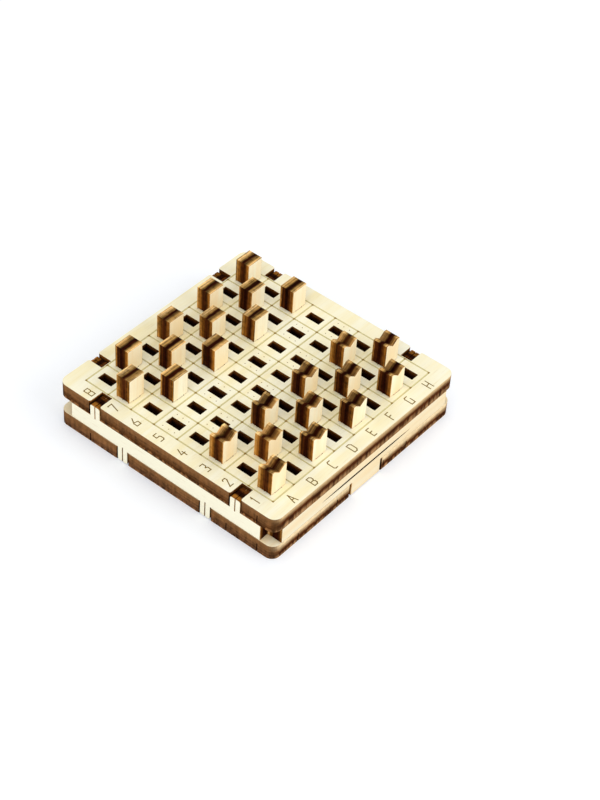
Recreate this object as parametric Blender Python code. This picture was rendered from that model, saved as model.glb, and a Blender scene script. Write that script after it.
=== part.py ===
"""Travel checkers board: a slotted board over a peg tray, all cut from one sheet of birch plywood."""

import math

import bmesh
import bpy
from mathutils import Matrix, Vector

# Stock and grid, in metres
SHEET = 0.004
CELL = 0.007
RANKS = 8
FILES = "abcdefgh"
KERF = 0.0002

# Plates
MARGIN = 0.0044
PLATE_HALF = CELL * RANKS / 2 + MARGIN
CORNER_RADIUS = 0.0022
TRAY_HEIGHT = 0.0046
BOARD_TOP = 2 * SHEET + TRAY_HEIGHT
TRAY_MIDDLE = SHEET + TRAY_HEIGHT / 2

# Clearances: static joints, pegs in their slots, and the loose door
FIT = 0.0001
SLOT_PLAY = 0.00012
DOOR_PLAY = 0.0004

# Tabs that join the walls to the plates
TAB_WIDTH = 0.0029
TAB_RADIUS = 0.0005
TOP_TAB_LENGTH = 0.0033
BASE_TAB_LENGTH = SHEET - FIT
TOP_TAB_OFFSET = 3 * CELL
BASE_TAB_OFFSET = 0.0125
SLIT_ROOT = 0.0005
MOUTH_RADIUS = 0.0005

# Walls run between the inner faces of their neighbours and leave the corners open
STRIP_HALF_HEIGHT = TRAY_HEIGHT / 2 - FIT
WALL_HALF_LENGTH = PLATE_HALF - SHEET

# Door strip with a finger tab below and a bowed spring slit along its middle
DOOR_HALF_LENGTH = 0.02975
DOOR_TAB_WIDTH = 0.0104
DOOR_SLIT_LENGTH = 0.0305
DOOR_SLIT_WIDTH = 0.00055
DOOR_SLIT_DROP = 0.0003

# Pegs: a wide body on a narrow tongue, with a V-shaped notch in one army's tops
PEG_WIDTH = 0.0048
PEG_HEIGHT = 0.0065
TONGUE_WIDTH = 0.0021
TONGUE_LENGTH = SHEET - FIT
NOTCH_WIDTH = 0.0032
NOTCH_DEPTH = 0.0012
PLAIN_RANKS = (6, 7, 8)
NOTCHED_RANKS = (1, 2, 3)

ARC_STEPS = 6
BOW_STEPS = 8


def clear_scene():
    """Remove whatever the file holds."""
    for obj in list(bpy.data.objects):
        bpy.data.objects.remove(obj, do_unlink=True)


def plywood(name, colour, roughness):
    """A bare wood material with the sheet's overall colour."""
    material = bpy.data.materials.new(name)
    material.use_nodes = True
    shader = material.node_tree.nodes["Principled BSDF"]
    shader.inputs["Base Color"].default_value = (*colour, 1.0)
    shader.inputs["Roughness"].default_value = roughness
    shader.inputs["Metallic"].default_value = 0.0
    return material


def arc(centre, radius, start, end):
    """Points on an arc between two angles in degrees, both ends included."""
    angles = [math.radians(start + (end - start) * i / ARC_STEPS) for i in range(ARC_STEPS + 1)]
    return [Vector((centre[0] + radius * math.cos(a), centre[1] + radius * math.sin(a))) for a in angles]


def turned(points, degrees):
    """The same points turned about the origin."""
    turn = Matrix.Rotation(math.radians(degrees), 2)
    return [turn @ point for point in points]


def rectangle(centre, width, height):
    """A rectangle's four corners."""
    x, y = centre
    half_w, half_h = width / 2, height / 2
    return [
        Vector((x - half_w, y - half_h)),
        Vector((x + half_w, y - half_h)),
        Vector((x + half_w, y + half_h)),
        Vector((x - half_w, y + half_h)),
    ]


def plate_side(notches):
    """The front side of a plate, from its left corner's arc to the last notch's round mouth."""
    edge = -PLATE_HALF
    inner = PLATE_HALF - CORNER_RADIUS
    points = arc((-inner, -inner), CORNER_RADIUS, 180, 270)
    floor = edge + SHEET + FIT
    for centre, width in notches:
        left, right = centre - width / 2, centre + width / 2
        points += arc((left - MOUTH_RADIUS, edge + MOUTH_RADIUS), MOUTH_RADIUS, -90, 0)
        points += [Vector((left, floor)), Vector((right, floor))]
        points += arc((right + MOUTH_RADIUS, edge + MOUTH_RADIUS), MOUTH_RADIUS, 180, 270)
    return points


def plate_outline(front, right, back, left):
    """A square plate with round corners and open notches along its four sides."""
    outline = []
    for quarter, notches in enumerate((front, right, back, left)):
        outline += turned(plate_side(notches), 90 * quarter)
    return outline


def split_tab(centre, edge, length):
    """A tab pointing down from an edge, with round corners and a slit up its middle."""
    left, right = centre - TAB_WIDTH / 2, centre + TAB_WIDTH / 2
    end = edge - length
    slit = [
        Vector((centre - KERF / 2, end)),
        Vector((centre - KERF / 2, edge + SLIT_ROOT)),
        Vector((centre + KERF / 2, edge + SLIT_ROOT)),
        Vector((centre + KERF / 2, end)),
    ]
    return (
        [Vector((left, edge))]
        + arc((left + TAB_RADIUS, end + TAB_RADIUS), TAB_RADIUS, 180, 270)
        + slit
        + arc((right - TAB_RADIUS, end + TAB_RADIUS), TAB_RADIUS, -90, 0)
        + [Vector((right, edge))]
    )


def strip_edge(tabs):
    """A wall's lower edge from end to end, with its tabs."""
    edge = -STRIP_HALF_HEIGHT
    return [Vector((-WALL_HALF_LENGTH, edge)), *tabs, Vector((WALL_HALF_LENGTH, edge))]


def wall_outline():
    """A strip with two split tabs down into the base plate and two up into the board."""
    edge = -STRIP_HALF_HEIGHT
    lower = []
    upper = []
    for side in (-1, 1):
        lower += split_tab(side * BASE_TAB_OFFSET, edge, BASE_TAB_LENGTH)
        upper += split_tab(side * TOP_TAB_OFFSET, edge, TOP_TAB_LENGTH)
    return strip_edge(lower) + turned(strip_edge(upper), 180)


def door_outline():
    """A plain strip with one wide tab down through the base plate."""
    edge = -STRIP_HALF_HEIGHT
    half_tab = DOOR_TAB_WIDTH / 2
    tab_end = edge - BASE_TAB_LENGTH
    return [
        Vector((-DOOR_HALF_LENGTH, edge)),
        Vector((-half_tab, edge)),
        Vector((-half_tab, tab_end)),
        Vector((half_tab, tab_end)),
        Vector((half_tab, edge)),
        Vector((DOOR_HALF_LENGTH, edge)),
        Vector((DOOR_HALF_LENGTH, -edge)),
        Vector((-DOOR_HALF_LENGTH, -edge)),
    ]


def bowed_slit():
    """The door's slit, pointed at its ends and widest at its middle."""
    half = DOOR_SLIT_LENGTH / 2
    middle = Vector((0, -DOOR_SLIT_DROP))
    places = [2 * i / BOW_STEPS - 1 for i in range(BOW_STEPS)]
    lower = [Vector((half * place, -DOOR_SLIT_WIDTH / 2 * (1 - place**4))) for place in places]
    return [middle + point for point in lower] + [middle - point for point in lower]


def peg_outline(notched):
    """A peg seen from the front, with its shoulders on the board's surface."""
    half_body, half_tongue = PEG_WIDTH / 2, TONGUE_WIDTH / 2
    lower = [
        Vector((-half_tongue, -TONGUE_LENGTH)),
        Vector((half_tongue, -TONGUE_LENGTH)),
        Vector((half_tongue, FIT)),
        Vector((half_body, FIT)),
        Vector((half_body, PEG_HEIGHT)),
    ]
    notch = [
        Vector((NOTCH_WIDTH / 2, PEG_HEIGHT)),
        Vector((0, PEG_HEIGHT - NOTCH_DEPTH)),
        Vector((-NOTCH_WIDTH / 2, PEG_HEIGHT)),
    ]
    upper = [
        Vector((-half_body, PEG_HEIGHT)),
        Vector((-half_body, FIT)),
        Vector((-half_tongue, FIT)),
    ]
    return lower + (notch if notched else []) + upper


def sheet_mesh(name, outline, holes=()):
    """Fill an outline with its holes and give it the sheet's thickness, centred on Z."""
    bm = bmesh.new()
    for loop in (outline, *holes):
        verts = [bm.verts.new((point.x, point.y, -SHEET / 2)) for point in loop]
        for i, vert in enumerate(verts):
            bm.edges.new((vert, verts[(i + 1) % len(verts)]))
    bmesh.ops.triangle_fill(bm, use_beauty=True, use_dissolve=False, edges=bm.edges[:])
    raised = bmesh.ops.extrude_face_region(bm, geom=bm.faces[:])
    top = [item for item in raised["geom"] if isinstance(item, bmesh.types.BMVert)]
    bmesh.ops.translate(bm, verts=top, vec=(0, 0, SHEET))
    bmesh.ops.recalc_face_normals(bm, faces=bm.faces[:])
    mesh = bpy.data.meshes.new(name)
    bm.to_mesh(mesh)
    bm.free()
    return mesh


def add_piece(name, mesh, material, parent, location, turn=0.0, upright=True):
    """Place a piece: a flat plate, or a strip stood on edge and turned about the vertical."""
    obj = bpy.data.objects.new(name, mesh)
    if not mesh.materials:
        mesh.materials.append(material)
    obj.parent = parent
    obj.location = location
    obj.rotation_euler = (math.radians(90) if upright else 0.0, 0.0, math.radians(turn))
    bpy.context.collection.objects.link(obj)
    return obj


def square_centre(file_index, rank):
    """The middle of a square, counted from file a and rank 1."""
    half_board = CELL * RANKS / 2
    return Vector(((file_index + 0.5) * CELL - half_board, (rank - 0.5) * CELL - half_board))


def add_plates(box):
    """The slotted board and the base plate under it."""
    squares = [square_centre(f, r) for f in range(len(FILES)) for r in range(1, RANKS + 1)]
    slots = [rectangle(c, TONGUE_WIDTH + 2 * SLOT_PLAY, SHEET + 2 * SLOT_PLAY) for c in squares]
    tab_notch = TAB_WIDTH + 2 * FIT
    top_notches = [(-TOP_TAB_OFFSET, tab_notch), (TOP_TAB_OFFSET, tab_notch)]
    base_notches = [(-BASE_TAB_OFFSET, tab_notch), (BASE_TAB_OFFSET, tab_notch)]
    door_notch = [(0.0, DOOR_TAB_WIDTH + 2 * DOOR_PLAY)]

    board = sheet_mesh("top_plate", plate_outline([], top_notches, top_notches, top_notches), slots)
    board_wood = plywood("board_veneer", (0.90, 0.80, 0.58), 0.55)
    add_piece("top_plate", board, board_wood, box, (0, 0, BOARD_TOP - SHEET / 2), upright=False)

    base = sheet_mesh("base_plate", plate_outline(door_notch, base_notches, base_notches, base_notches))
    base_wood = plywood("base_veneer", (0.88, 0.77, 0.55), 0.55)
    add_piece("base_plate", base, base_wood, box, (0, 0, SHEET / 2), upright=False)


def add_walls(box):
    """Three walls flush with the plates' edges."""
    wood = plywood("wall_veneer", (0.90, 0.80, 0.60), 0.55)
    reach = PLATE_HALF - SHEET / 2
    for name, turn in (("left_wall", -90), ("back_wall", 180), ("right_wall", 90)):
        place = Matrix.Rotation(math.radians(turn), 3, "Z") @ Vector((0, -reach, TRAY_MIDDLE))
        add_piece(name, sheet_mesh(name, wall_outline()), wood, box, place, turn)


def add_door(box):
    """The strip that closes the tray at the front."""
    mesh = sheet_mesh("front_door", door_outline(), [bowed_slit()])
    wood = plywood("door_veneer", (0.91, 0.80, 0.58), 0.55)
    add_piece("front_door", mesh, wood, box, (0, -PLATE_HALF + SHEET / 2, TRAY_MIDDLE))


def add_pegs(box):
    """Both armies on the dark squares, each peg with its origin at its slot on the board's surface."""
    armies = (
        ("plain_peg", PLAIN_RANKS, False, plywood("plain_peg_veneer", (0.85, 0.70, 0.44), 0.6)),
        ("notched_peg", NOTCHED_RANKS, True, plywood("notched_peg_veneer", (0.87, 0.72, 0.46), 0.6)),
    )
    for stem, ranks, notched, wood in armies:
        mesh = sheet_mesh(stem, peg_outline(notched))
        for rank in ranks:
            for index, letter in enumerate(FILES):
                if (index + rank) % 2 == 0:
                    continue
                centre = square_centre(index, rank)
                add_piece(f"{stem}_{letter}{rank}", mesh, wood, box, (centre.x, centre.y, BOARD_TOP))


def main():
    """Build the whole set around an empty at the middle of the base."""
    clear_scene()
    box = bpy.data.objects.new("checkers_box", None)
    bpy.context.collection.objects.link(box)
    add_plates(box)
    add_walls(box)
    add_door(box)
    add_pegs(box)


main()
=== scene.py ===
"""Travel checkers board in laser-cut birch plywood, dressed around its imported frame."""

import math
import random

import bmesh
import bpy
from mathutils import Matrix, Vector


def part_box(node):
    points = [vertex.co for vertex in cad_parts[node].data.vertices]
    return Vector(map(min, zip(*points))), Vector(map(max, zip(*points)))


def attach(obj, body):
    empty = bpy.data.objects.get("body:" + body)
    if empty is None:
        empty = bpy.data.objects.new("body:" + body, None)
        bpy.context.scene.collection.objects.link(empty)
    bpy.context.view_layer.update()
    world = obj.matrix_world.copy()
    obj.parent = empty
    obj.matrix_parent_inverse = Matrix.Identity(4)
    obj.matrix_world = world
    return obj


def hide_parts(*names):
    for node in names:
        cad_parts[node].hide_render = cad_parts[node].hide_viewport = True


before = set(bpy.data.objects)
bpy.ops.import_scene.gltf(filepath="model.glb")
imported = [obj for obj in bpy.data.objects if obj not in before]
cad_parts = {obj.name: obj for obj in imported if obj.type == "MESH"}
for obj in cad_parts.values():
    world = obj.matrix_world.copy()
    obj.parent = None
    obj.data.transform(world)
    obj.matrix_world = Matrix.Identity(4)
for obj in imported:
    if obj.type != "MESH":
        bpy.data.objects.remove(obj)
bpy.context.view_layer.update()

bl_info = {
    "name": "Travel checkers board",
    "version": (1, 0, 0),
    "blender": (4, 5, 0),
    "location": "View3D > Sidebar > Checkers",
    "description": "A slotted plywood board over a peg tray, with both armies of pegs standing in it",
    "category": "Object",
}

FILES = "abcdefgh"
RANKS = 8

BASE_LOW, BASE_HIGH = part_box("base_plate")
BOARD_LOW, BOARD_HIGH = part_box("top_plate")
_, WALL_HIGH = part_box("left_wall")
DOOR_LOW, DOOR_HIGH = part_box("front_door")
PEG_LOW, PEG_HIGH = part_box("plain_peg_b6")
NEXT_PEG_LOW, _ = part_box("plain_peg_d6")

# Material slots on every sheet-cut piece; the char slot holds real burn and painted shade
VENEER, CUT, CHAR_AND_SHADE, LINE, LETTER = range(5)

# Gap of a pressed fit, in metres
FIT = 0.0001

# Segments of the rounds, the softened rims, the dots and the door's bowed slit, and the power of that bow
ROUND_STEPS = 8
RIM_STEPS = 2
DOT_STEPS = 8
BOW_STEPS = 16
BOW_POWER = 4

# Edges that bend by less than this are shaded smooth
SMOOTH_BELOW = math.radians(20)

# How upright a normal is: a face of the sheet lies above the first, the wall of an opening below the second
SHEET_FACE = 0.9
WALL_FACE = 0.5

# Slack in telling a right-angled rim and a level edge
ANGLE_SLACK = 0.1
LEVEL_SLACK = 1e-7

# Stands a piece that is drawn flat upright, its face to the front
STAND = Matrix.Rotation(math.radians(90), 4, "X")

# Each wall with its turn from the front in degrees, the axis of its grain and the axis across it
WALLS = (("left", -90, "y", "x"), ("back", 180, "x", "y"), ("right", 90, "y", "x"))

# Height of each plate's dark ply above its back, as a share of the sheet
BOARD_CORE = 0.47
BASE_CORE = 0.33

# How fast a cut turns from end grain to side grain, round a plate's corners and on the straight strips
ROUND_FADE = 0.6
STRIP_FADE = 4

# How much darker the beam leaves a plate's corners and the slopes of a peg's notch
CORNER_SCORCH = 0.35
NOTCH_SCORCH = 0.12

# How far in from a plate's outline the char and painted shade of a notch begin
NOTCH_LIP = 0.00005

# Pegs put in with the golden ply to the back, and the seed of the pegs' small leans
TURNED_PEGS = {"f6", "a7", "e7", "d8", "f8", "h8", "a1", "b2", "a3", "g3"}
LEAN_SEED = 8

# Nicks left on the plates' rims by the bridges to the sheet, in squares from the middle of a side
BOARD_FRONT_NICKS = (3.23, 3.83)
BOARD_LEFT_NICKS = (-3.9,)
BASE_FRONT_NICKS = (-3.42, -1.46, 0.95, 2.16)
BASE_LEFT_NICKS = (-3.96, -2.68, 3.22)

# How far up a plate's thickness its nicks reach
NICK_REACH = 0.65

# Dots of a dark square, in squares from its middle, and the radii of their cutting cone, in dot sizes
DOT_COLUMNS = (-0.34, 0.34)
DOT_ROWS = (-0.25, 0.0, 0.25)
DOT_FOOT = 0.3
DOT_HEAD = 0.7

# Inset of a square, in squares, before its inner face is stretched to the slot
SLOT_INSET = 0.25

# How much deeper each stroke of a glyph is cut than the one before, so that no two floors fall together
STROKE_STEP = 0.02

# The floor's half side and level in metres, its colour to the bounced light, and to the camera
# the paper's colour with a bluish lift that fills its shadow
FLOOR_HALF = 3
FLOOR_LEVEL = -0.00002
FLOOR_BOUNCE = (0.95, 0.95, 0.95, 1)
FLOOR_PAPER = (0.77, 0.76, 0.75, 1)
FLOOR_LIFT = (0.27, 0.3, 0.34, 1)
WHITE = (1, 1, 1, 1)

# Places and side of the lamps in metres, and the camera's frame in millimetres and near limit in metres
KEY_PLACE = (0.16, -0.94, 0.62)
FILL_PLACE = (-0.93, -0.18, 0.48)
LAMP_SIZE = 0.75
SENSOR_WIDTH = 36
NEAR_CLIP = 0.01

# Strokes of the coordinates, in a box one wide and one high
GLYPHS = {
    "A": [[(0, 0), (0.5, 1), (1, 0)], [(0.2, 0.36), (0.8, 0.36)]],
    "B": [
        [(0, 0), (0, 1), (0.72, 1), (1, 0.84), (1, 0.64), (0.78, 0.5), (0, 0.5)],
        [(0.78, 0.5), (1, 0.36), (1, 0.16), (0.72, 0), (0, 0)],
    ],
    "C": [[(0.8, 1), (0.22, 1), (0, 0.86), (0, 0.12), (0.2, 0), (0.7, 0)]],
    "D": [[(0, 0), (0, 1), (0.66, 1), (1, 0.82), (1, 0.18), (0.66, 0), (0, 0)]],
    "E": [[(0.78, 1), (0, 1), (0, 0), (0.72, 0)], [(0, 0.5), (0.62, 0.55)]],
    "F": [[(0.78, 1), (0, 1), (0, 0)], [(0, 0.5), (0.62, 0.55)]],
    "G": [[(0.86, 1), (0.2, 1), (0, 0.86), (0, 0), (0.96, 0), (1, 0.58)]],
    "H": [[(0, 0), (0, 1)], [(1, 0), (1, 1)], [(0, 0.48), (1, 0.54)]],
    "1": [[(0.5, 0), (0.5, 1), (0.3, 0.84)]],
    "2": [[(0.1, 0.86), (0.3, 1), (0.85, 1), (0.95, 0.78), (0.05, 0), (0.9, 0)]],
    "3": [
        [(0.1, 1), (0.85, 1), (0.9, 0.62), (0.5, 0.5)],
        [(0.5, 0.5), (0.95, 0.4), (0.9, 0), (0.1, 0.02)],
    ],
    "4": [[(0.55, 1), (0, 0.34), (1, 0.34)], [(0.72, 0.56), (0.72, 0)]],
    "5": [[(0.9, 1), (0.1, 1), (0.1, 0.56), (0.82, 0.56), (1, 0.42), (1, 0.12), (0.8, 0), (0.05, 0)]],
    "6": [[(0.74, 1), (0, 0.42), (0, 0), (1, 0), (1, 0.4), (0.12, 0.5)]],
    "7": [[(0, 0.96), (0.05, 1), (1, 1), (0.45, 0)]],
    "8": [
        [
            *((0, 0), (1, 0), (1, 0.42), (0.84, 0.5), (1, 0.6), (1, 1)),
            *((0, 1), (0, 0.6), (0.16, 0.5), (0, 0.42), (0, 0)),
        ],
        [(0.16, 0.5), (0.84, 0.5)],
    ],
}

# Where each rank's number stands along its margin, in squares from the middle of its rank
NUMBER_SHIFT = {8: 0.02, 7: -0.06, 6: 0.0, 5: -0.02, 4: -0.01, 3: 0.0, 2: 0.08, 1: -0.05}


def linear(red, green, blue):
    """A scene-linear colour from display values out of 255."""
    parts = [value / 255 for value in (red, green, blue)]
    return tuple(p / 12.92 if p <= 0.04045 else ((p + 0.055) / 1.055) ** 2.4 for p in parts)


def length(label, meaning, default):
    """A length that the user may change, in metres."""
    return bpy.props.FloatProperty(
        name=label, description=meaning, default=default, min=0.0, unit="LENGTH", precision=5
    )


def brightness(label, meaning, default):
    """A light's level that the user may change."""
    return bpy.props.FloatProperty(name=label, description=meaning, default=default, min=0.0, precision=3)


def colour(label, meaning, default):
    """A colour that the user may change, given in display values."""
    return bpy.props.FloatVectorProperty(
        name=label, description=meaning, default=linear(*default), size=3, min=0.0, max=1.0, subtype="COLOR"
    )


class SheetSizes(bpy.types.PropertyGroup):
    """The plywood and the plates cut from it"""

    thickness: length("Sheet thickness", "Thickness of the plywood", BASE_HIGH.z - BASE_LOW.z)
    cell: length("Square", "Side of one square of the board", (NEXT_PEG_LOW.x - PEG_LOW.x) / 2)
    plate: length("Plate side", "Side of the square plates", BASE_HIGH.x - BASE_LOW.x)
    corner: length("Corner radius", "Round of the plates' corners", 0.0022)
    tray: length("Tray height", "Room between the two plates", BOARD_LOW.z - BASE_HIGH.z)
    rim: length("Rim", "Softening of the sheet's cut rims", 0.00006)
    kerf: length("Kerf", "Width of a single laser cut", 0.0002)
    fit: length("Fit", "Gap between pieces that are pressed together", FIT)


class JointSizes(bpy.types.PropertyGroup):
    """Tabs of the walls and the loose door"""

    tab_width: length("Tab width", "Width of a split tab", 0.0029)
    tab_round: length("Tab round", "Round of a tab's corners", 0.0005)
    mouth_round: length("Mouth round", "Round of a notch's mouth", 0.0005)
    top_reach: length("Board tab", "Length of a tab in the board", WALL_HIGH.z - BOARD_LOW.z + FIT)
    top_offset: length("Board tab place", "Board tabs' distance from the wall's middle", 0.021)
    base_offset: length("Base tab place", "Base tabs' distance from the wall's middle", 0.0125)
    slit_root: length("Slit root", "How far a tab's slit runs on into the wall", 0.0005)
    door_width: length("Door width", "Length of the door strip", DOOR_HIGH.x - DOOR_LOW.x)
    door_tab: length("Door tab", "Width of the door's finger tab", 0.0104)
    door_play: length("Door play", "Gap at each side of the finger tab", 0.0004)
    door_slit: length("Door slit", "Length of the door's spring slit", 0.0305)
    door_gap: length("Door slit gap", "Width of the spring slit at its middle", 0.00055)
    door_drop: length("Door slit drop", "Depth of the spring slit under the door's middle", 0.0003)


class PegSizes(bpy.types.PropertyGroup):
    """Pegs and the slots that they stand in"""

    width: length("Peg width", "Width of a peg's body", PEG_HIGH.x - PEG_LOW.x)
    height: length("Peg height", "Height above the board", PEG_HIGH.z - BOARD_HIGH.z)
    tongue: length("Tongue width", "Width of the tongue in the slot", 0.0021)
    play: length("Slot play", "Gap round a tongue in its slot", 0.00012)
    notch_width: length("Notch width", "Width of the V-shaped notch", 0.0032)
    notch_depth: length("Notch depth", "Depth of the V-shaped notch", 0.0012)
    lean: bpy.props.FloatProperty(
        name="Lean",
        description="Most that a peg leans in its slot",
        default=math.radians(0.7),
        subtype="ANGLE",
    )


class EngravingSizes(bpy.types.PropertyGroup):
    """Lines, dots and coordinates burnt into the board"""

    line: length("Line width", "Width of the grid's grooves", 0.0004)
    depth: length("Depth", "Depth of the engraving", 0.0001)
    stroke: length("Stroke width", "Width of the strokes of letters and numbers", 0.00027)
    glyph_width: length("Letter width", "Width of a letter", 0.0012)
    glyph_height: length("Letter height", "Height of a letter", 0.0025)
    margin: length("Letter place", "Distance of the letters' middle from the grid", 0.00232)
    dot: length("Dot size", "Diameter of the dots on the dark squares", 0.00028)
    nick: length("Nick size", "Width of the nicks in the plates' rims", 0.0003)


class WoodColours(bpy.types.PropertyGroup):
    """Colours of the plywood"""

    veneer: colour("Veneer", "The sheet's pale face", (255, 251, 226))
    figure: colour("Figure", "Warmer bands of grain in the face", (252, 239, 190))
    # The warmer figure is partly real grain and partly painted warm light bounced from the wood round the
    # pieces
    warm_figure: colour("Warm figure", "Bands of grain in the pegs, the door and the base", (254, 232, 188))
    pore: colour("Pores", "Fine dark streaks in the face", (222, 190, 136))
    pale_ply: colour("Pale ply", "Upper ply of the board's cut", (216, 188, 140))
    bright_ply: colour("Bright ply", "Upper ply of the base's cut", (236, 212, 168))
    scorched_ply: colour("Scorched ply", "Middle ply of a plate's cut", (72, 34, 8))
    low_ply: colour("Lower ply", "Ply on the underside of a plate's cut", (146, 112, 76))
    top_ply: colour("Top ply", "Outer plies at a peg's top", (224, 182, 120))
    tan_ply: colour("Tan ply", "Outer plies at a peg's top, next to its core", (160, 122, 66))
    # The rim ply is lighter than the golden ply: a painted highlight along the rim where the cut meets the
    # face
    rim_ply: colour("Rim ply", "Outer plies where a peg's cut meets its face", (178, 128, 64))
    golden_ply: colour("Golden ply", "Lighter outer ply of a cut", (142, 90, 30))
    brown_ply: colour("Brown ply", "Darker outer ply of a cut", (90, 49, 16))
    dark_ply: colour("Dark ply", "Scorched outer ply at a peg's back", (66, 30, 7))
    core_ply: colour("Core ply", "Middle ply of a cut", (40, 9, 1))
    end_grain: colour("End grain", "Cut across the fibres", (128, 88, 52))
    end_low: colour("Low end grain", "The board's cut across the fibres, near its back", (72, 40, 14))
    base_low: colour("Low base end grain", "The base's cut across the fibres, near its back", (92, 60, 38))
    # Char is partly the beam's real burn and partly painted shade deep in narrow slots, notches and slits
    char: colour("Char", "Walls of slots and slits", (40, 15, 4))
    line: colour("Lines", "Engraved grid", (211, 200, 148))
    letter: colour("Letters", "Engraved coordinates and dots", (148, 120, 56))


class StudioSettings(bpy.types.PropertyGroup):
    """Camera and light"""

    sky: brightness("Sky level", "Brightness of the light all round", 0.84)
    key: brightness("Key level", "Power of the lamp in front, in watts", 4.0)
    fill: brightness("Fill level", "Power of the lamp on the left, in watts", 1.6)
    lens: bpy.props.FloatProperty(
        name="Lens", description="Focal length on a 36 mm frame", default=87.74, unit="CAMERA"
    )
    azimuth: bpy.props.FloatProperty(
        name="Azimuth",
        description="Direction of the camera about the vertical",
        default=math.radians(216.684),
        subtype="ANGLE",
    )
    elevation: bpy.props.FloatProperty(
        name="Elevation", description="Height of the camera", default=math.radians(43.553), subtype="ANGLE"
    )
    roll: bpy.props.FloatProperty(
        name="Roll", description="Lean of the camera", default=math.radians(4.417), subtype="ANGLE"
    )
    distance: length("Distance", "From the camera to its target", 0.44374)
    target: bpy.props.FloatVectorProperty(
        name="Target",
        description="The point in the middle of the picture",
        default=(0.00041, -0.011936, 0.0126),
        size=3,
        subtype="TRANSLATION",
        unit="LENGTH",
    )


class CheckersSettings(bpy.types.PropertyGroup):
    """All settings of the set"""

    sheet: bpy.props.PointerProperty(type=SheetSizes)
    joints: bpy.props.PointerProperty(type=JointSizes)
    pegs: bpy.props.PointerProperty(type=PegSizes)
    engraving: bpy.props.PointerProperty(type=EngravingSizes)
    wood: bpy.props.PointerProperty(type=WoodColours)
    studio: bpy.props.PointerProperty(type=StudioSettings)


class Wire:
    """A shader socket that can stand in a Python expression."""

    def __init__(self, finish, socket):
        self.finish = finish
        self.socket = socket

    def maths(self, operation, first, second):
        """The result of one sum."""
        return self.finish.node("ShaderNodeMath", {"operation": operation}, {0: first, 1: second})

    def __add__(self, other):
        return self.maths("ADD", self, other)

    def __radd__(self, other):
        return self.maths("ADD", other, self)

    def __sub__(self, other):
        return self.maths("SUBTRACT", self, other)

    def __rsub__(self, other):
        return self.maths("SUBTRACT", other, self)

    def __mul__(self, other):
        return self.maths("MULTIPLY", self, other)

    def __rmul__(self, other):
        return self.maths("MULTIPLY", other, self)


class Finish:
    """A node tree being written, for a material or the world."""

    def __init__(self, tree):
        self.tree = tree
        tree.nodes.clear()

    def node(self, kind, settings=None, inputs=None, output=0):
        """Add a node, set it, feed its sockets and give one of its outputs."""
        made = self.tree.nodes.new(kind)
        for name, value in (settings or {}).items():
            if name == "stops":
                self.stops(made.color_ramp.elements, value)
            else:
                setattr(made, name, value)
        for name, value in (inputs or {}).items():
            if isinstance(value, Wire):
                self.tree.links.new(value.socket, made.inputs[name])
            else:
                made.inputs[name].default_value = value
        return Wire(self, made.outputs[output]) if made.outputs else made

    def stops(self, elements, stops):
        """Fill a colour ramp with places and colours."""
        while len(elements) < len(stops):
            elements.new(1.0)
        for element, (place, shade) in zip(elements, stops):
            element.position = place
            element.color = (*shade, 1.0)

    def place(self, scale):
        """Object coordinates, stretched."""
        place = self.node("ShaderNodeTexCoord", output="Object")
        return self.node("ShaderNodeVectorMath", {"operation": "MULTIPLY"}, {0: place, 1: scale})

    def noise(self, scale, detail, roughness=0.5):
        """Cloudy noise from 0 to 1 over stretched object coordinates."""
        return self.node(
            "ShaderNodeTexNoise",
            {},
            {"Vector": self.place(scale), "Scale": 1.0, "Detail": detail, "Roughness": roughness},
        )

    def between(self, value, low, high):
        """0 below low, 1 above high, and a smooth step between."""
        return self.node(
            "ShaderNodeMapRange",
            {"interpolation_type": "SMOOTHSTEP"},
            {"Value": value, "From Min": low, "From Max": high},
        )

    def attribute(self, name):
        """A number that the mesh carries."""
        return self.node("ShaderNodeAttribute", {"attribute_name": name}, {}, "Fac")

    def mix(self, factor, first, second):
        """A colour between two."""
        pair = [item if isinstance(item, Wire) else (*item, 1.0) for item in (first, second)]
        return self.node("ShaderNodeMix", {"data_type": "RGBA"}, {0: factor, 6: pair[0], 7: pair[1]}, 2)

    def shaded(self, shade, factor):
        """A colour made lighter or darker, but no brighter than white."""
        scaled = self.node("ShaderNodeVectorMath", {"operation": "SCALE"}, {0: shade, "Scale": factor})
        return self.node("ShaderNodeVectorMath", {"operation": "MINIMUM"}, {0: scaled, 1: (1, 1, 1)})

    def ramp(self, value, stops):
        """A colour read from a list of places and colours."""
        return self.node("ShaderNodeValToRGB", {"stops": stops}, {"Fac": value})

    def wood(self, shade, roughness, relief, relief_depth, gloss):
        """Close a wood material with its colour, roughness, relief and shine."""
        normal = self.node(
            "ShaderNodeBump", {}, {"Strength": 0.5, "Distance": relief_depth, "Height": relief}, "Normal"
        )
        shader = self.node(
            "ShaderNodeBsdfPrincipled",
            {},
            {"Base Color": shade, "Roughness": roughness, "Normal": normal, "Specular IOR Level": gloss},
        )
        self.node("ShaderNodeOutputMaterial", {}, {"Surface": shader})


def new_material(name):
    """An empty material with its node tree."""
    material = bpy.data.materials.new(name)
    material.use_nodes = True
    return material, Finish(material.node_tree)


def along(axis, lengthwise, crosswise):
    """Scales of a pattern that runs along one axis."""
    return tuple(lengthwise if letter == axis else crosswise for letter in "xyz")


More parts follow.
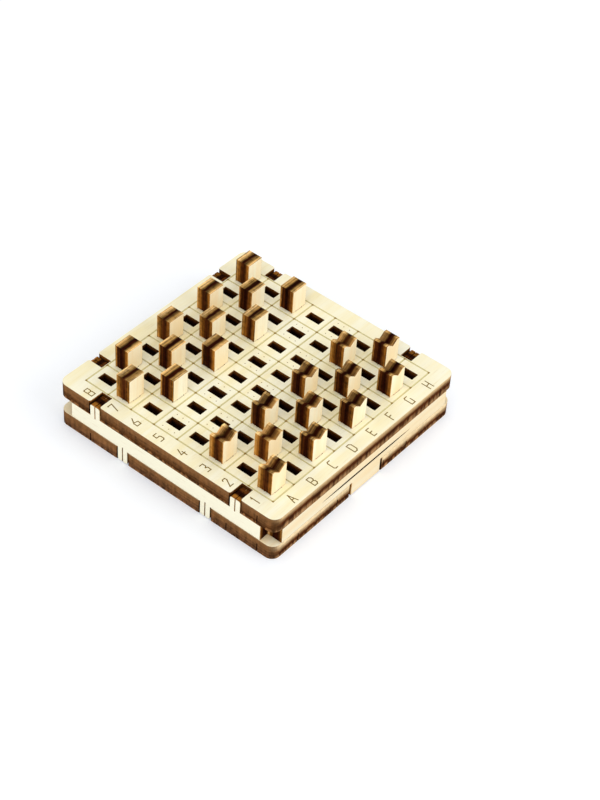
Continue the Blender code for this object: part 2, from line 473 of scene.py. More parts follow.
def birch_face(name, wood, grain, warm_figure, warmth=0.0, tone=1.0):
    """The sheet's pale face with warmer bands and fine pores along the grain; each piece's warmth and tone
    also paint a tint of light and shade onto it.
    """
    material, finish = new_material(name)
    bands = finish.noise(along(grain, lengthwise=25, crosswise=420), detail=4, roughness=0.55)
    clouds = finish.noise((70, 70, 70), detail=2)
    fibres = finish.noise(along(grain, lengthwise=180, crosswise=5200), detail=3, roughness=0.6)
    pores = finish.between(fibres, low=0.6, high=0.74)
    figure = finish.between(bands * 0.65 + clouds * 0.35 + warmth, low=0.34, high=0.72)
    shade = finish.mix(figure, wood.veneer, warm_figure)
    shade = finish.mix(pores * 0.3, shade, wood.pore)
    shade = finish.shaded(shade, tone - fibres * 0.06)
    finish.wood(
        shade,
        roughness=0.52 + fibres * 0.16,
        relief=fibres + pores * -0.6,
        relief_depth=0.00002,
        gloss=0.1,
    )
    return material


def plate_cut(wood, core, top, low):
    """A plate's cut along the grain, its dark ply at a given height, and the cut across the grain."""
    side = [
        (0.0, wood.low_ply),
        (core - 0.08, wood.scorched_ply),
        (core + 0.1, wood.scorched_ply),
        (core + 0.24, wood.low_ply),
        (core + 0.53, top),
    ]
    end = [
        (0.0, wood.end_grain),
        (0.14, low),
        (0.75, wood.end_grain),
        (0.9, wood.end_grain),
        (1.0, wood.low_ply),
    ]
    return side, end


def slot_cut(wood):
    """A wall of a slot or notch, dark below with real char and painted shade, paler just under the face
    with the pale ply and a painted highlight, and browner across the grain.
    """
    side = [(0.0, wood.char), (0.7, wood.char), (0.9, wood.brown_ply), (1.0, wood.rim_ply)]
    end = [(0.0, wood.char), (0.6, wood.char), (0.85, wood.brown_ply), (1.0, wood.golden_ply)]
    return side, end


def strip_cut(wood):
    """A wall's cut along the grain, and the one across it."""
    side = [
        (0.24, wood.brown_ply),
        (0.38, wood.char),
        (0.62, wood.char),
        (0.76, wood.golden_ply),
    ]
    end = [
        (0.0, wood.top_ply),
        (0.18, wood.golden_ply),
        (0.34, wood.brown_ply),
        (0.44, wood.core_ply),
        (0.7, wood.core_ply),
        (0.84, wood.brown_ply),
        (0.94, wood.golden_ply),
        (1.0, wood.top_ply),
    ]
    return side, end


def peg_cut(wood):
    """A peg's cut at its sides, its golden ply in front, and the lighter cut at its top."""
    side = [
        (0.05, wood.rim_ply),
        (0.15, wood.dark_ply),
        (0.32, wood.dark_ply),
        (0.42, wood.core_ply),
        (0.58, wood.core_ply),
        (0.74, wood.brown_ply),
        (0.92, wood.golden_ply),
        (1.0, wood.rim_ply),
    ]
    end = [
        (0.0, wood.top_ply),
        (0.22, wood.tan_ply),
        (0.32, wood.tan_ply),
        (0.46, wood.core_ply),
        (0.66, wood.core_ply),
        (0.8, wood.tan_ply),
        (1.0, wood.top_ply),
    ]
    return side, end


def turned_peg_cut(wood):
    """The cuts of a peg put in the other way round, its golden ply at the back."""
    side = [
        (0.12, wood.rim_ply),
        (0.22, wood.golden_ply),
        (0.42, wood.brown_ply),
        (0.5, wood.dark_ply),
        (0.62, wood.dark_ply),
        (0.76, wood.brown_ply),
        (0.93, wood.golden_ply),
        (1.0, wood.rim_ply),
    ]
    end = [
        (0.16, wood.top_ply),
        (0.32, wood.tan_ply),
        (0.46, wood.core_ply),
        (0.58, wood.core_ply),
        (0.86, wood.tan_ply),
        (1.0, wood.top_ply),
    ]
    return side, end


def ply_edge(name, stops, across_axis, beaten=0.0):
    """A scorched cut through three plies, streaked by its fibres and, where beaten, by the beam."""
    material, finish = new_material(name)
    sway = finish.noise((620, 620, 620), detail=3)
    beam = finish.noise(along(across_axis, lengthwise=120, crosswise=1100), detail=3, roughness=0.6)
    fibres = finish.noise(along(across_axis, lengthwise=2200, crosswise=70), detail=3, roughness=0.6)
    soot = finish.noise((900, 900, 900), detail=3, roughness=0.65)
    streaks = finish.between(beam, low=0.35, high=0.65)
    depth = finish.attribute("across")

    # The beam's streaks make the plies ragged, most of all near the sheet's back
    ragged = (1 - finish.between(depth, low=0.1, high=0.7) * 0.8) * (0.22 * beaten)
    across = depth + (sway - 0.5) * 0.12 + (0.5 - streaks) * ragged
    side, end = (finish.ramp(across, cut) for cut in stops)
    shade = finish.mix(finish.attribute("end_grain"), side, end)

    # Where the beam marks a cut, its upper ply stays cleaner
    marks = streaks * (0.1 + 0.5 * beaten)
    marks += finish.between(fibres, low=0.35, high=0.65) * (1 - 0.5 * beaten)
    marks += finish.between(soot, low=0.3, high=0.7) * 0.5
    stain = 1 + (marks - 0.8) * (1 - finish.between(across, low=0.4, high=0.9) * (0.7 * beaten))
    shade = finish.shaded(shade, stain * (1 - finish.attribute("burn")))
    finish.wood(
        shade,
        roughness=0.7 + beam * 0.2,
        relief=beam + soot * 0.5,
        relief_depth=0.00005,
        gloss=0.02,
    )
    return material


def scorch(finish, shade):
    """Close a material with a colour that the beam has burnt unevenly."""
    grain = finish.noise((2600, 2600, 2600), detail=3)
    breaks = finish.noise((240, 240, 240), detail=2)
    shade = finish.shaded(shade, 0.6 + grain * 0.4 + breaks * 0.4)
    finish.wood(shade, roughness=0.7 + grain * 0.1, relief=grain, relief_depth=0.00003, gloss=0.02)


def burnt(name, shade):
    """A surface that the beam has scorched."""
    material, finish = new_material(name)
    scorch(finish, tuple(shade))
    return material


def grid_line(name, wood, sheet):
    """The grid's shallow grooves, burnt twice where two of them cross."""
    material, finish = new_material(name)
    centre = finish.place((1, 1, 1))
    gaps = [
        finish.node(
            "ShaderNodeMath",
            {"operation": "PINGPONG"},
            {0: finish.node("ShaderNodeSeparateXYZ", {}, {0: centre}, axis), 1: sheet.cell / 2},
        )
        for axis in "XY"
    ]
    crossing = 1 - finish.between(gaps[0] + gaps[1], low=0.0002, high=0.0006)
    scorch(finish, finish.mix(crossing, wood.line, wood.letter))
    return material


def turned(corners, degrees):
    """Corner points turned about the origin, each keeping its round."""
    turn = Matrix.Rotation(math.radians(degrees), 2)
    return [(*(turn @ Vector((x, y))), radius) for x, y, radius in corners]


def sheet_face(corners):
    """A flat face through corner points, given as x, y and the radius of a round."""
    bm = bmesh.new()
    verts = [bm.verts.new((x, y, 0)) for x, y, _ in corners]
    bm.faces.new(verts)
    rounds = {}
    for vert, (_, _, radius) in zip(verts, corners):
        if radius:
            rounds.setdefault(radius, []).append(vert)
    for radius, group in rounds.items():
        bmesh.ops.bevel(
            bm,
            geom=group,
            offset=radius,
            offset_type="OFFSET",
            segments=ROUND_STEPS,
            profile=0.5,
            affect="VERTICES",
            material=-1,
        )
    return bm


def soften(bm, edges, width):
    """Take the sharpness off a sheet's rims."""
    bmesh.ops.bevel(
        bm,
        geom=edges,
        offset=width,
        offset_type="OFFSET",
        segments=RIM_STEPS,
        profile=0.5,
        affect="EDGES",
        material=-1,
        clamp_overlap=True,
    )


def raised(bm, edges, vector):
    """Pull wire or boundary edges along a vector and give the new edges."""
    made = bmesh.ops.extrude_edge_only(bm, edges=edges)["geom"]
    verts = [item for item in made if isinstance(item, bmesh.types.BMVert)]
    bmesh.ops.translate(bm, verts=verts, vec=vector)
    fresh = set(verts)
    return [e for e in made if isinstance(e, bmesh.types.BMEdge) and fresh.issuperset(e.verts)]


def fill_between(bm, edges):
    """Close the flat area between an outline and the openings inside it."""
    bmesh.ops.triangle_fill(bm, use_beauty=True, use_dissolve=False, edges=edges)


def thicken(bm, sheet):
    """Give flat faces the sheet's thickness, centred on Z."""
    made = bmesh.ops.extrude_face_region(bm, geom=bm.faces[:])["geom"]
    top = [item for item in made if isinstance(item, bmesh.types.BMVert)]
    bmesh.ops.translate(bm, verts=top, vec=(0, 0, sheet.thickness))
    bmesh.ops.translate(bm, verts=bm.verts[:], vec=(0, 0, -sheet.thickness / 2))
    bmesh.ops.recalc_face_normals(bm, faces=bm.faces[:])
    rims = [edge for edge in bm.edges if is_level(edge) and is_square(edge)]
    soften(bm, rims, sheet.rim)


def is_level(edge):
    """True for an edge that lies in the sheet's face."""
    return abs(edge.verts[0].co.z - edge.verts[1].co.z) < LEVEL_SLACK


def is_square(edge):
    """True for an edge between two faces at a right angle."""
    return abs(edge.calc_face_angle(0.0) - math.pi / 2) < ANGLE_SLACK


def mark_cuts(bm, sheet, grain, fade, scorched=0.0):
    """Tell faces from cuts, and note each point's depth, each cut's grain and the burn on bends."""
    across = bm.verts.layers.float.new("across")
    end_grain = bm.faces.layers.float.new("end_grain")
    burn = bm.faces.layers.float.new("burn")
    bm.normal_update()
    for vert in bm.verts:
        vert[across] = vert.co.z / sheet.thickness + 0.5
    for face in bm.faces:
        face[end_grain] = abs(face.normal.dot(grain)) ** fade
        face[burn] = scorched * (2 * face.normal.x * face.normal.y) ** 2
        if face.material_index <= CUT:
            face.material_index = VENEER if abs(face.normal.z) > SHEET_FACE else CUT


def char_openings(bm, sheet):
    """Blacken the walls of a plate's slots and notches, which lie in from its outline, with real char and
    painted shade.
    """
    bm.normal_update()
    half = sheet.plate / 2
    for face in bm.faces:
        near, far = sorted(abs(value) for value in face.calc_center_median().xy)
        if abs(face.normal.z) < WALL_FACE and near < half - sheet.corner and far < half - NOTCH_LIP:
            face.material_index = CHAR_AND_SHADE


def tint(made, index):
    """Give the faces of a fresh shape their material slot."""
    for vert in made["verts"]:
        for face in vert.link_faces:
            face.material_index = index


def engraved(bm, cutter):
    """Cut strokes, dots and nicks out of a piece, leaving burnt floors and sides."""
    objects = []
    for name, source in (("uncut", bm), ("strokes", cutter)):
        mesh = bpy.data.meshes.new(name)
        source.to_mesh(mesh)
        source.free()
        for _ in range(LETTER + 1):
            mesh.materials.append(None)
        objects.append(bpy.data.objects.new(name, mesh))
        bpy.context.scene.collection.objects.link(objects[-1])
    piece, strokes = objects
    cut = piece.modifiers.new("engrave", "BOOLEAN")
    cut.operation = "DIFFERENCE"
    cut.solver = "EXACT"
    cut.use_self = True
    cut.material_mode = "INDEX"
    cut.object = strokes
    result = bmesh.new()
    result.from_object(piece, bpy.context.evaluated_depsgraph_get())
    for obj in objects:
        mesh = obj.data
        bpy.data.objects.remove(obj)
        bpy.data.meshes.remove(mesh)
    return result


def add_stroke(cutter, start, end, width, depth, level):
    """A bar between two points, sunk into the surface."""
    start, end = Vector(start), Vector(end)
    run = end - start
    middle = (start + end) / 2
    place = Matrix.Translation((middle.x, middle.y, level))
    turn = Matrix.Rotation(math.atan2(run.y, run.x), 4, "Z")
    size = Matrix.Diagonal((run.length + width, width, 2 * depth, 1))
    tint(bmesh.ops.create_cube(cutter, size=1, matrix=place @ turn @ size), LETTER)


def add_nicks(cutter, settings, front, left):
    """V-shaped nicks up a plate's front and left rims, as far as its upper ply."""
    sheet = settings.sheet
    edge = -sheet.plate / 2
    diagonal = Matrix.Rotation(math.radians(45), 4, "Z")
    side = settings.engraving.nick / math.sqrt(2)
    size = Matrix.Diagonal((side, side, 2 * NICK_REACH * sheet.thickness, 1))
    places = [(step * sheet.cell, edge) for step in front]
    places += [(edge, step * sheet.cell) for step in left]
    for x, y in places:
        place = Matrix.Translation((x, y, -sheet.thickness / 2))
        tint(bmesh.ops.create_cube(cutter, size=1, matrix=place @ diagonal @ size), CHAR_AND_SHADE)


def add_glyph(cutter, letter, centre, engraving, level):
    """A letter or number in strokes, each cut a little deeper than the last."""
    count = 0
    for line in GLYPHS[letter]:
        points = [
            (
                centre[0] + (x - 0.5) * engraving.glyph_width,
                centre[1] + (y - 0.5) * engraving.glyph_height,
            )
            for x, y in line
        ]
        for start, end in zip(points, points[1:]):
            count += 1
            depth = engraving.depth * (1 + STROKE_STEP * count)
            add_stroke(cutter, start, end, engraving.stroke, depth, level)


def square_centre(sheet, index, rank):
    """The middle of a square, counted from file a and rank 1."""
    half = sheet.cell * RANKS / 2
    return Vector(((index + 0.5) * sheet.cell - half, (rank - 0.5) * sheet.cell - half))


def is_dark(index, rank):
    """True for the squares that pegs stand on."""
    return (index + rank) % 2 == 1


def tab_notches(sheet, joints, offset):
    """Middle and width of the two notches that take a wall's tabs."""
    width = joints.tab_width + 2 * sheet.fit
    return [(side * offset, width) for side in (-1, 1)]


def plate_side(sheet, joints, notches):
    """The front side of a plate: its left corner, then its notches."""
    edge = -sheet.plate / 2
    floor = edge + sheet.thickness + sheet.fit
    corners = [(edge, edge, sheet.corner)]
    for centre, width in notches:
        left, right = centre - width / 2, centre + width / 2
        corners += [
            (left, edge, joints.mouth_round),
            (left, floor, 0),
            (right, floor, 0),
            (right, edge, joints.mouth_round),
        ]
    return corners


def plate_corners(sheet, joints, sides):
    """A plate's outline from its front side round to its left one."""
    corners = []
    for quarter, notches in enumerate(sides):
        corners += turned(plate_side(sheet, joints, notches), 90 * quarter)
    return corners


def tab_corners(sheet, joints, centre, edge, reach):
    """A split tab pointing down from a strip's edge."""
    left, right = centre - joints.tab_width / 2, centre + joints.tab_width / 2
    end = edge - reach
    root = edge + joints.slit_root
    return [
        (left, edge, 0),
        (left, end, joints.tab_round),
        (centre - sheet.kerf / 2, end, 0),
        (centre - sheet.kerf / 2, root, 0),
        (centre + sheet.kerf / 2, root, 0),
        (centre + sheet.kerf / 2, end, 0),
        (right, end, joints.tab_round),
        (right, edge, 0),
    ]


def wall_corners(sheet, joints):
    """A strip with two split tabs into the base and two into the board."""
    edge = sheet.fit - sheet.tray / 2
    half = sheet.plate / 2 - sheet.thickness
    lower = [(-half, edge, 0)]
    upper = [(-half, edge, 0)]
    for side in (-1, 1):
        lower += tab_corners(sheet, joints, side * joints.base_offset, edge, sheet.thickness - sheet.fit)
        upper += tab_corners(sheet, joints, side * joints.top_offset, edge, joints.top_reach)
    lower.append((half, edge, 0))
    upper.append((half, edge, 0))
    return lower + turned(upper, 180)


def door_corners(sheet, joints):
    """A strip with a wide finger tab down through the base."""
    edge = sheet.fit - sheet.tray / 2
    half, half_tab = joints.door_width / 2, joints.door_tab / 2
    end = edge - sheet.thickness + sheet.fit
    return [
        (-half, edge, 0),
        (-half_tab, edge, 0),
        (-half_tab, end, 0),
        (half_tab, end, 0),
        (half_tab, edge, 0),
        (half, edge, 0),
        (half, -edge, 0),
        (-half, -edge, 0),
    ]


def peg_corners(sheet, pegs, notched):
    """A peg from the front, its shoulders on the board."""
    half, half_tongue = pegs.width / 2, pegs.tongue / 2
    top = pegs.height
    foot = sheet.fit - sheet.thickness
    corners = [
        (-half_tongue, foot, 0),
        (half_tongue, foot, 0),
        (half_tongue, sheet.fit, 0),
        (half, sheet.fit, 0),
        (half, top, 0),
    ]
    if notched:
        corners += [
            (pegs.notch_width / 2, top, 0),
            (0, top - pegs.notch_depth, 0),
            (-pegs.notch_width / 2, top, 0),
        ]
    corners += [(-half, top, 0), (-half, sheet.fit, 0), (-half_tongue, sheet.fit, 0)]
    return corners


def slotted_board(settings):
    """The board with its grid of grooves and 64 slots, its middle at the origin."""
    sheet, joints = settings.sheet, settings.joints
    pegs, engraving = settings.pegs, settings.engraving
    half_sheet = sheet.thickness / 2
    notches = tab_notches(sheet, joints, joints.top_offset)
    bm = sheet_face(plate_corners(sheet, joints, ([], notches, notches, notches)))
    outline = bm.edges[:]
    bmesh.ops.delete(bm, geom=bm.faces[:], context="FACES_ONLY")
    bmesh.ops.translate(bm, verts=bm.verts[:], vec=(0, 0, half_sheet))

    half_grid = sheet.cell * RANKS / 2
    floor = Matrix.Translation((0, 0, half_sheet - engraving.depth))
    bmesh.ops.create_grid(bm, x_segments=RANKS, y_segments=RANKS, size=half_grid, matrix=floor)
    squares = bm.faces[:]
    half_line = engraving.line / 2
    slopes = bmesh.ops.inset_individual(
        bm, faces=squares, thickness=half_line, depth=engraving.depth, use_even_offset=True
    )["faces"]
    border = [edge for edge in bm.edges if edge.is_boundary]
    lip = raised(bm, border, (0, 0, engraving.depth))
    lip_verts = list({vert: None for edge in lip for vert in edge.verts})
    reach = (half_grid + half_line) / half_grid
    bmesh.ops.scale(bm, verts=lip_verts, vec=(reach, reach, 1))
    slopes += [face for edge in lip for face in edge.link_faces]
    for face in slopes:
        face.material_index = LINE

    slot = Vector((pegs.tongue + 2 * pegs.play, sheet.thickness + 2 * pegs.play))
    shrunk = sheet.cell * SLOT_INSET
    bmesh.ops.inset_individual(bm, faces=squares, thickness=shrunk, use_even_offset=True)
    size = sheet.cell - engraving.line - 2 * shrunk
    for face in squares:
        middle = Matrix.Translation(-face.calc_center_median())
        bmesh.ops.scale(bm, verts=face.verts[:], vec=(slot.x / size, slot.y / size, 1), space=middle)
    caps = bmesh.ops.extrude_discrete_faces(bm, faces=squares)["faces"]
    bottoms = [edge for face in caps for edge in face.edges]
    foot = list({vert: None for face in caps for vert in face.verts})
    bmesh.ops.translate(bm, verts=foot, vec=(0, 0, -sheet.thickness))
    bmesh.ops.delete(bm, geom=caps, context="FACES_ONLY")

    under = raised(bm, outline, (0, 0, -sheet.thickness))
    fill_between(bm, outline + lip)
    fill_between(bm, under + bottoms)
    bmesh.ops.recalc_face_normals(bm, faces=bm.faces[:])
    soften(bm, outline + under, sheet.rim)
    char_openings(bm, sheet)
    return bm


def board_marks(settings):
    """The strokes of the coordinates and the dots of the dark squares, ready to be cut."""
    sheet, engraving = settings.sheet, settings.engraving
    level = sheet.thickness / 2
    half_grid = sheet.cell * RANKS / 2
    cutter = bmesh.new()
    for index, letter in enumerate(FILES.upper()):
        centre = (square_centre(sheet, index, 1).x, -half_grid - engraving.margin)
        add_glyph(cutter, letter, centre, engraving, level)
    for rank, shift in NUMBER_SHIFT.items():
        centre = (-half_grid - engraving.margin, square_centre(sheet, 0, rank).y + shift * sheet.cell)
        add_glyph(cutter, str(rank), centre, engraving, level)
    for index in range(len(FILES)):
        for rank in range(1, RANKS + 1):
            if is_dark(index, rank):
                add_dots(cutter, square_centre(sheet, index, rank), settings, level)
    add_nicks(cutter, settings, BOARD_FRONT_NICKS, BOARD_LEFT_NICKS)
    return cutter


def add_dots(cutter, centre, settings, level):
    """Six dots beside a slot, three on each side."""
    engraving, cell = settings.engraving, settings.sheet.cell
    for column in DOT_COLUMNS:
        for row in DOT_ROWS:
            place = Matrix.Translation((centre.x + column * cell, centre.y + row * cell, level))
            dot = bmesh.ops.create_cone(
                cutter,
                cap_ends=True,
                segments=DOT_STEPS,
                radius1=engraving.dot * DOT_FOOT,
                radius2=engraving.dot * DOT_HEAD,
                depth=engraving.depth * 2,
                matrix=place,
            )
            tint(dot, LETTER)


def add_piece(bm, name, materials, place, node, body):
    """Put a finished mesh in its place and let it stand for its solid."""
    bmesh.ops.transform(bm, matrix=place, verts=bm.verts[:])
    mesh = bpy.data.meshes.new(name)
    bm.to_mesh(mesh)
    bm.free()
    for material in materials:
        mesh.materials.append(material)
    mesh.polygons.foreach_set("use_smooth", [True] * len(mesh.polygons))
    mesh.set_sharp_from_angle(angle=SMOOTH_BELOW)
    obj = bpy.data.objects.new(name, mesh)
    bpy.context.scene.collection.objects.link(obj)
    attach(obj, body)
    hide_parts(node)


def shared(name, maker, *args, **options):
    """A material by name, made the first time it is asked for."""
    found = bpy.data.materials.get(name)
    return found or maker(name, *args, **options)


class MakeBoard(bpy.types.Operator):
    """Cut the slotted board and burn its grid, dots and coordinates"""

    bl_idname = "checkers.make_board"
    bl_label = "Slotted board"

    def execute(self, context):
        settings = context.scene.checkers
        sheet, wood = settings.sheet, settings.wood
        bm = engraved(slotted_board(settings), board_marks(settings))
        mark_cuts(bm, sheet, Vector((1, 0, 0)), ROUND_FADE, CORNER_SCORCH)
        cut = plate_cut(wood, BOARD_CORE, wood.pale_ply, wood.end_low)
        materials = (
            shared("board_face", birch_face, wood, "x", wood.figure),
            shared("board_edges", ply_edge, cut, "z", beaten=1.0),
            shared("slot_walls", ply_edge, slot_cut(wood), "z"),
            shared("engraved_lines", grid_line, wood, sheet),
            shared("engraved_letters", burnt, wood.letter),
        )
        place = Matrix.Translation((0, 0, BOARD_HIGH.z - sheet.thickness / 2))
        add_piece(bm, "playing_board", materials, place, "top_plate", "board_box")
        return {"FINISHED"}


class MakeBase(bpy.types.Operator):
    """Cut the base plate with its notches for the walls and the door"""

    bl_idname = "checkers.make_base"
    bl_label = "Base plate"

    def execute(self, context):
        settings = context.scene.checkers
        sheet, joints, wood = settings.sheet, settings.joints, settings.wood
        notches = tab_notches(sheet, joints, joints.base_offset)
        door = [(0.0, joints.door_tab + 2 * joints.door_play)]
        bm = sheet_face(plate_corners(sheet, joints, (door, notches, notches, notches)))
        thicken(bm, sheet)
        char_openings(bm, sheet)
        nicks = bmesh.new()
        add_nicks(nicks, settings, BASE_FRONT_NICKS, BASE_LEFT_NICKS)
        bm = engraved(bm, nicks)
        mark_cuts(bm, sheet, Vector((1, 0, 0)), ROUND_FADE, CORNER_SCORCH)
        cut = plate_cut(wood, BASE_CORE, wood.bright_ply, wood.base_low)
        materials = (
            # The base's warmer face partly paints warm bounced light
            shared("base_face", birch_face, wood, "x", wood.warm_figure, warmth=0.1),
            shared("base_edges", ply_edge, cut, "z", beaten=1.0),
            shared("slot_walls", ply_edge, slot_cut(wood), "z"),
        )
        place = Matrix.Translation((0, 0, sheet.thickness / 2))
        add_piece(bm, "tray_base", materials, place, "base_plate", "board_box")
        return {"FINISHED"}


class MakeWalls(bpy.types.Operator):
    """Cut the three walls that are pressed between the plates"""

    bl_idname = "checkers.make_walls"
    bl_label = "Walls"

    def execute(self, context):
        settings = context.scene.checkers
        sheet, wood = settings.sheet, settings.wood
        reach = sheet.plate / 2 - sheet.thickness / 2
        height = sheet.thickness + sheet.tray / 2
        for side, degrees, grain, axis in WALLS:
            bm = sheet_face(wall_corners(sheet, settings.joints))
            thicken(bm, sheet)
            mark_cuts(bm, sheet, Vector((1, 0, 0)), STRIP_FADE)
            # The walls' paler, cooler face is partly painted cool light from the white floor
            face = shared(f"wall_face_{grain}", birch_face, wood, grain, wood.figure, warmth=-0.2)
            edge = shared(f"strip_edges_{axis}", ply_edge, strip_cut(wood), axis)
            turn = Matrix.Rotation(math.radians(degrees), 4, "Z")
            place = turn @ Matrix.Translation((0, -reach, height)) @ STAND
            add_piece(bm, f"wall_{side}", (face, edge), place, f"{side}_wall", "board_box")
        return {"FINISHED"}


class MakeDoor(bpy.types.Operator):
    """Cut the loose strip that closes the tray, with its spring slit and finger tab"""

    bl_idname = "checkers.make_door"
    bl_label = "Tray door"

    def execute(self, context):
        settings = context.scene.checkers
        sheet, joints, wood = settings.sheet, settings.joints, settings.wood
        bm = sheet_face(door_corners(sheet, joints))
        outline = bm.edges[:]
        bmesh.ops.delete(bm, geom=bm.faces[:], context="FACES_ONLY")
        half, gap = joints.door_slit / 2, joints.door_gap / 2
        places = [2 * step / BOW_STEPS - 1 for step in range(BOW_STEPS)]
        slit = [(half * place, -gap * (1 - place**BOW_POWER)) for place in places]
        slit += [(-x, -y) for x, y in slit]
        verts = [bm.verts.new((x, y - joints.door_drop, 0)) for x, y in slit]
        loop = [bm.edges.new((vert, verts[(i + 1) % len(verts)])) for i, vert in enumerate(verts)]
        fill_between(bm, outline + loop)
        thicken(bm, sheet)
        # The slit's walls are dark with real char and painted shade in the narrow gap
        for face in bm.faces:
            middle = face.calc_center_median()
            in_slit = abs(middle.x) < half and abs(middle.y) < 2 * joints.door_gap
            if in_slit and abs(face.normal.z) < WALL_FACE:
                face.material_index = CHAR_AND_SHADE
        mark_cuts(bm, sheet, Vector((1, 0, 0)), STRIP_FADE)
        materials = (
            # The door's face is warmed with painted bounce light and its tone darkened as painted shade
            shared("door_face", birch_face, wood, "x", wood.warm_figure, warmth=0.09, tone=0.88),
            shared("strip_edges_y", ply_edge, strip_cut(wood), "y"),
            shared("charred_cuts", burnt, wood.char),
        )
        front = -sheet.plate / 2 + sheet.thickness / 2
        height = sheet.thickness + sheet.tray / 2
        place = Matrix.Translation((0, front, height)) @ STAND
        add_piece(bm, "tray_door", materials, place, "front_door", "front_door")
        return {"FINISHED"}


def make_army(settings, stem, notched):
    """Stand one army's pegs on the squares where the frame has them."""
    sheet, pegs, wood = settings.sheet, settings.pegs, settings.wood
    leans = random.Random(LEAN_SEED)
    # The pegs' warmer face partly paints warm light bounced from the board
    face = shared(f"{stem}_face", birch_face, wood, "z", wood.warm_figure, warmth=0.08)
    edge = shared(f"{stem}_edges", ply_edge, peg_cut(wood), "y")
    turned_edge = shared(f"{stem}_edges_turned", ply_edge, turned_peg_cut(wood), "y")
    for rank in range(1, RANKS + 1):
        for index, letter in enumerate(FILES):
            square = f"{letter}{rank}"
            node = f"{stem}_{square}"
            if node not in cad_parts:
                continue
            bm = sheet_face(peg_corners(sheet, pegs, notched))
            thicken(bm, sheet)
            mark_cuts(bm, sheet, Vector((0, 1, 0)), STRIP_FADE, NOTCH_SCORCH)
            cut = turned_edge if square in TURNED_PEGS else edge
            centre = square_centre(sheet, index, rank)
            angle = leans.uniform(-1, 1) * pegs.lean
            lean = Matrix.Rotation(angle, 4, "Z")
            settle = abs(math.sin(angle)) * pegs.width / 2
            place = Matrix.Translation((centre.x, centre.y, BOARD_HIGH.z - settle)) @ STAND @ lean
            add_piece(bm, f"peg_{square}", (face, cut), place, node, node)


class MakePlainPegs(bpy.types.Operator):
    """Cut the flat-topped army"""

    bl_idname = "checkers.make_plain_pegs"
    bl_label = "Plain pegs"

    def execute(self, context):
        make_army(context.scene.checkers, "plain_peg", notched=False)
        return {"FINISHED"}


class MakeNotchedPegs(bpy.types.Operator):
    """Cut the army with notched tops"""

    bl_idname = "checkers.make_notched_pegs"
    bl_label = "Notched pegs"

    def execute(self, context):
        make_army(context.scene.checkers, "notched_peg", notched=True)
        return {"FINISHED"}


def add_floor():
    """A pale floor that shows white to the camera and keeps the object's shadow."""
    bm = bmesh.new()
    level = Matrix.Translation((0, 0, FLOOR_LEVEL))
    bmesh.ops.create_grid(bm, x_segments=1, y_segments=1, size=FLOOR_HALF, matrix=level)
    mesh = bpy.data.meshes.new("floor")
    bm.to_mesh(mesh)
    bm.free()
    material, finish = new_material("studio_floor")
    bounce = finish.node("ShaderNodeBsdfDiffuse", {}, {"Color": FLOOR_BOUNCE})
    lift = finish.node("ShaderNodeEmission", {}, {"Color": FLOOR_LIFT, "Strength": 1.0})
    paper = finish.node("ShaderNodeBsdfDiffuse", {}, {"Color": FLOOR_PAPER})
    seen = finish.node("ShaderNodeAddShader", {}, {0: lift, 1: paper})
    camera = finish.node("ShaderNodeLightPath", output="Is Camera Ray")
    shader = finish.node("ShaderNodeMixShader", {}, {0: camera, 1: bounce, 2: seen})
    finish.node("ShaderNodeOutputMaterial", {}, {"Surface": shader})
    mesh.materials.append(material)
    floor = bpy.data.objects.new("floor", mesh)
    bpy.context.scene.collection.objects.link(floor)


def add_sky(level):
    """Even light from all round, white where the camera looks past the floor."""
    world = bpy.data.worlds.new("studio")
    world.use_nodes = True
    finish = Finish(world.node_tree)
    light = finish.node("ShaderNodeBackground", {}, {"Color": WHITE, "Strength": level})
    white = finish.node("ShaderNodeBackground", {}, {"Color": WHITE, "Strength": 1.0})
    camera = finish.node("ShaderNodeLightPath", output="Is Camera Ray")
    shader = finish.node("ShaderNodeMixShader", {}, {0: camera, 1: light, 2: white})
    finish.node("ShaderNodeOutputWorld", {}, {"Surface": shader})
    bpy.context.scene.world = world


def add_lamp(name, place, power):
    """A square lamp aimed at the board."""
    data = bpy.data.lights.new(name, "AREA")
    data.size = LAMP_SIZE
    data.energy = power
    lamp = bpy.data.objects.new(name, data)
    lamp.location = place
    lamp.rotation_euler = (-Vector(place)).to_track_quat("-Z", "Y").to_euler()
    bpy.context.scene.collection.objects.link(lamp)


def add_camera(studio):
    """The photograph's viewpoint."""
    azimuth, elevation = studio.azimuth, studio.elevation
    flat = math.cos(elevation)
    back = Vector((flat * math.cos(azimuth), flat * math.sin(azimuth), math.sin(elevation)))
    turn = back.to_track_quat("Z", "Y").to_matrix().to_4x4()
    lean = Matrix.Rotation(studio.roll, 4, "Z")
    data = bpy.data.cameras.new("camera")
    data.lens = studio.lens
    data.sensor_width = SENSOR_WIDTH
    data.clip_start = NEAR_CLIP
    camera = bpy.data.objects.new("camera", data)
    place = Matrix.Translation(Vector(studio.target) + back * studio.distance)
    camera.matrix_world = place @ turn @ lean
    bpy.context.scene.collection.objects.link(camera)
    bpy.context.scene.camera = camera


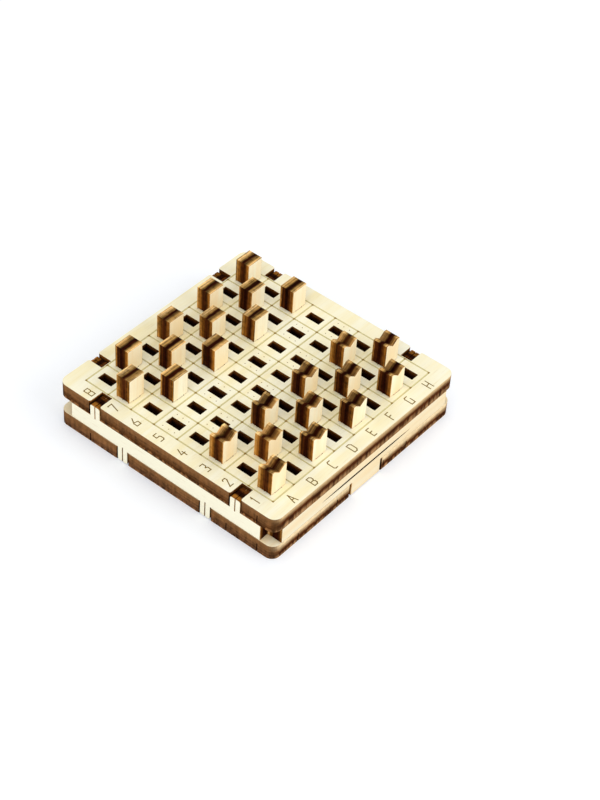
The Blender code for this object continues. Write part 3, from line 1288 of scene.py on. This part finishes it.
class SetStage(bpy.types.Operator):
    """Lay the floor, light it and set up the camera"""

    bl_idname = "checkers.set_stage"
    bl_label = "Stage"

    def execute(self, context):
        studio = context.scene.checkers.studio
        context.scene.view_settings.view_transform = "Standard"
        add_floor()
        add_sky(studio.sky)
        add_lamp("key", KEY_PLACE, studio.key)
        add_lamp("fill", FILL_PLACE, studio.fill)
        add_camera(studio)
        return {"FINISHED"}


class CheckersPanel(bpy.types.Panel):
    """Sizes, colours and steps of the set"""

    bl_idname = "VIEW3D_PT_checkers"
    bl_label = "Travel checkers board"
    bl_space_type = "VIEW_3D"
    bl_region_type = "UI"
    bl_category = "Checkers"

    def draw(self, context):
        settings = context.scene.checkers
        for group in (
            settings.sheet,
            settings.joints,
            settings.pegs,
            settings.engraving,
            settings.wood,
            settings.studio,
        ):
            column = self.layout.box().column()
            for name in group.__annotations__:
                column.prop(group, name)
        steps = self.layout.column()
        for operator in OPERATORS:
            steps.operator(operator.bl_idname)


GROUPS = (
    SheetSizes,
    JointSizes,
    PegSizes,
    EngravingSizes,
    WoodColours,
    StudioSettings,
    CheckersSettings,
)
OPERATORS = (
    SetStage,
    MakeBase,
    MakeWalls,
    MakeDoor,
    MakeBoard,
    MakePlainPegs,
    MakeNotchedPegs,
)


def register():
    """Make the classes known and give the scene its settings."""
    for item in (*GROUPS, *OPERATORS, CheckersPanel):
        bpy.utils.register_class(item)
    bpy.types.Scene.checkers = bpy.props.PointerProperty(type=CheckersSettings)


def unregister():
    """Take the settings and the classes away again."""
    del bpy.types.Scene.checkers
    for item in reversed((*GROUPS, *OPERATORS, CheckersPanel)):
        bpy.utils.unregister_class(item)


def main():
    """Build everything in order."""
    register()
    bpy.ops.checkers.set_stage()
    bpy.ops.checkers.make_base()
    bpy.ops.checkers.make_walls()
    bpy.ops.checkers.make_door()
    bpy.ops.checkers.make_board()
    bpy.ops.checkers.make_plain_pegs()
    bpy.ops.checkers.make_notched_pegs()


if __name__ == "__main__":
    main()
